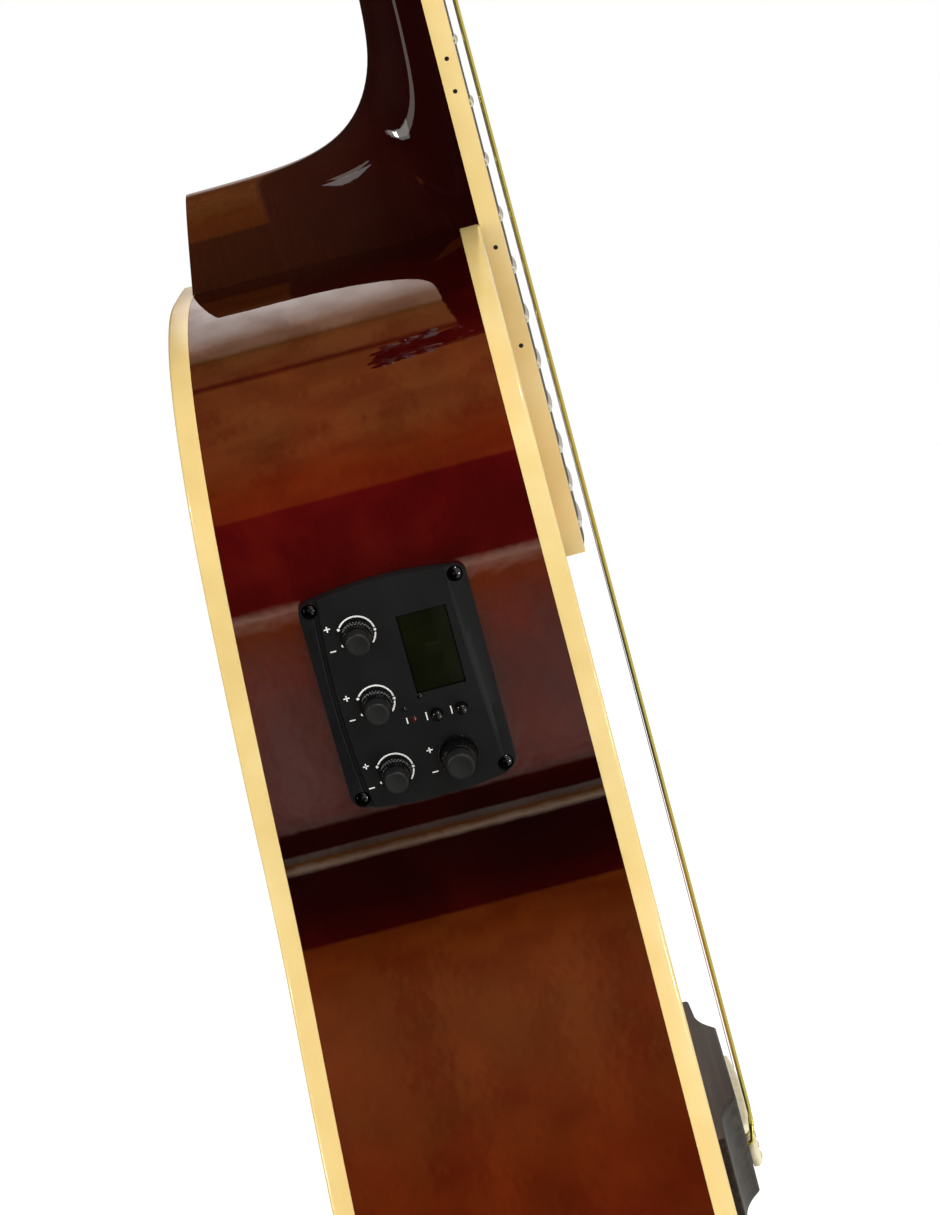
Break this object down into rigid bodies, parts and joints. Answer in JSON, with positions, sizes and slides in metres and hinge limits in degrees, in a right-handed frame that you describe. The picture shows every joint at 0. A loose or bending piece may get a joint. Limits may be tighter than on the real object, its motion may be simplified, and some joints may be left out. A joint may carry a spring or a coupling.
{
  "type": "acoustic-electric guitar",
  "caption": "Cutaway flat-top steel-string guitar with braced hollow body, carved neck, geared tuners, pinned bridge and a side-mounted preamp with knobs.",
  "frame": {"origin": "on the centreline, where the nut end of the fretboard meets the neck's glue face", "axes": "+Z along the neck towards the headstock, +Y from the soundboard towards the back, +X towards the treble side"},
  "size_m": [0.376, 0.1287, 1.0286],
  "materials": {
    "spruce_top": "clear gloss lacquer over spruce",
    "burst_lacquer": "high-gloss tobacco burst lacquer",
    "mahogany": "dark stained mahogany, gloss lacquer",
    "inner_spruce": "bare sanded spruce",
    "cream_binding": "polished cream plastic",
    "rosewood": "oiled rosewood",
    "bone": "polished ivory-coloured plastic",
    "black_plastic": "fine-textured black plastic",
    "display": "clear window over a dark display",
    "chrome": "polished chrome plate",
    "steel": "plain steel",
    "bronze": "bronze-wound steel"
  },
  "bodies": {
    "guitar": {"soundboard": "spruce_top", "rosette": "rosewood", "side_bass": "burst_lacquer", "side_treble": "burst_lacquer", "back_plate": "burst_lacquer", "binding_top": "cream_binding", "binding_back": "cream_binding", "neck_block": "inner_spruce", "tail_block": "inner_spruce", "top_bracing": "inner_spruce", "back_bracing": "inner_spruce", "neck": "mahogany", "truss_rod": "steel", "fretboard": "rosewood", "fretboard_binding": "cream_binding", "nut": "bone", "headstock_veneer": "rosewood", "bridge": "rosewood", "saddle": "bone", "saddle_pickup": "steel", "bridge_pin_1": "bone", "bridge_pin_2": "bone", "bridge_pin_3": "bone", "bridge_pin_4": "bone", "bridge_pin_5": "bone", "bridge_pin_6": "bone", "string_1": "bronze", "string_2": "bronze", "string_3": "bronze", "string_4": "bronze", "string_5": "steel", "string_6": "steel", "tuner_housing_1": "chrome", "tuner_housing_2": "chrome", "tuner_housing_3": "chrome", "tuner_housing_4": "chrome", "tuner_housing_5": "chrome", "tuner_housing_6": "chrome", "preamp_case": "black_plastic", "preamp_panel": "black_plastic", "lcd_window": "display", "end_jack": "chrome"},
    "post_1": {"tuner_post_1": "chrome"},
    "post_2": {"tuner_post_2": "chrome"},
    "post_3": {"tuner_post_3": "chrome"},
    "post_4": {"tuner_post_4": "chrome"},
    "post_5": {"tuner_post_5": "chrome"},
    "post_6": {"tuner_post_6": "chrome"},
    "key_1": {"tuner_button_1": "chrome"},
    "key_2": {"tuner_button_2": "chrome"},
    "key_3": {"tuner_button_3": "chrome"},
    "key_4": {"tuner_button_4": "chrome"},
    "key_5": {"tuner_button_5": "chrome"},
    "key_6": {"tuner_button_6": "chrome"},
    "bass": {"knob_bass": "black_plastic"},
    "middle": {"knob_middle": "black_plastic"},
    "treble": {"knob_treble": "black_plastic"},
    "volume": {"knob_volume": "black_plastic"},
    "phase": {"button_phase": "black_plastic"},
    "tuner_switch": {"button_tuner": "black_plastic"}
  },
  "joints": [
    {"name": "post_1_turn", "type": "hinge", "parent": "guitar", "child": "post_1", "pos_m": [-0.024, 0.01064, 0.04829], "axis": [0, -0.9703, 0.2419], "range_deg": [-30, 30]},
    {"name": "post_2_turn", "type": "hinge", "parent": "guitar", "child": "post_2", "pos_m": [-0.0255, 0.02008, 0.08614], "axis": [0, -0.9703, 0.2419], "range_deg": [-30, 30]},
    {"name": "post_3_turn", "type": "hinge", "parent": "guitar", "child": "post_3", "pos_m": [-0.027, 0.02951, 0.12398], "axis": [0, -0.9703, 0.2419], "range_deg": [-30, 30]},
    {"name": "post_4_turn", "type": "hinge", "parent": "guitar", "child": "post_4", "pos_m": [0.027, 0.02951, 0.12398], "axis": [0, -0.9703, 0.2419], "range_deg": [-30, 30]},
    {"name": "post_5_turn", "type": "hinge", "parent": "guitar", "child": "post_5", "pos_m": [0.0255, 0.02008, 0.08614], "axis": [0, -0.9703, 0.2419], "range_deg": [-30, 30]},
    {"name": "post_6_turn", "type": "hinge", "parent": "guitar", "child": "post_6", "pos_m": [0.024, 0.01064, 0.04829], "axis": [0, -0.9703, 0.2419], "range_deg": [-30, 30]},
    {"name": "key_1_turn", "type": "hinge", "parent": "guitar", "child": "key_1", "pos_m": [-0.024, 0.03204, 0.04914], "axis": [-1, 0, 0], "range_deg": [-420, 420]},
    {"name": "key_2_turn", "type": "hinge", "parent": "guitar", "child": "key_2", "pos_m": [-0.0255, 0.04147, 0.08699], "axis": [-1, 0, 0], "range_deg": [-420, 420]},
    {"name": "key_3_turn", "type": "hinge", "parent": "guitar", "child": "key_3", "pos_m": [-0.027, 0.05091, 0.12483], "axis": [-1, 0, 0], "range_deg": [-420, 420]},
    {"name": "key_4_turn", "type": "hinge", "parent": "guitar", "child": "key_4", "pos_m": [0.027, 0.048, 0.11318], "axis": [1, 0, 0], "range_deg": [-420, 420]},
    {"name": "key_5_turn", "type": "hinge", "parent": "guitar", "child": "key_5", "pos_m": [0.0255, 0.03857, 0.07534], "axis": [1, 0, 0], "range_deg": [-420, 420]},
    {"name": "key_6_turn", "type": "hinge", "parent": "guitar", "child": "key_6", "pos_m": [0.024, 0.02913, 0.0375], "axis": [1, 0, 0], "range_deg": [-420, 420]},
    {"name": "bass_turn", "type": "hinge", "parent": "guitar", "child": "bass", "pos_m": [-0.14277, 0.0613, -0.45178], "axis": [-0.9785, 0, -0.206], "range_deg": [-140, 140]},
    {"name": "middle_turn", "type": "hinge", "parent": "guitar", "child": "middle", "pos_m": [-0.13839, 0.0613, -0.47263], "axis": [-0.9785, 0, -0.206], "range_deg": [-140, 140]},
    {"name": "treble_turn", "type": "hinge", "parent": "guitar", "child": "treble", "pos_m": [-0.134, 0.0613, -0.49347], "axis": [-0.9785, 0, -0.206], "range_deg": [-140, 140]},
    {"name": "volume_turn", "type": "hinge", "parent": "guitar", "child": "volume", "pos_m": [-0.134, 0.0429, -0.49347], "axis": [-0.9785, 0, -0.206], "range_deg": [-140, 140]},
    {"name": "phase_press", "type": "slide", "parent": "guitar", "child": "phase", "axis": [0.9785, 0, 0.206], "range_m": [0, 0.001], "stiffness_N_per_m": 300},
    {"name": "tuner_press", "type": "slide", "parent": "guitar", "child": "tuner_switch", "axis": [0.9785, 0, 0.206], "range_m": [0, 0.001], "stiffness_N_per_m": 300}
  ],
  "couplings": [
    {"joint": "key_1_turn", "follows": "post_1_turn", "ratio": 14},
    {"joint": "key_2_turn", "follows": "post_2_turn", "ratio": 14},
    {"joint": "key_3_turn", "follows": "post_3_turn", "ratio": 14},
    {"joint": "key_4_turn", "follows": "post_4_turn", "ratio": 14},
    {"joint": "key_5_turn", "follows": "post_5_turn", "ratio": 14},
    {"joint": "key_6_turn", "follows": "post_6_turn", "ratio": 14}
  ]
}
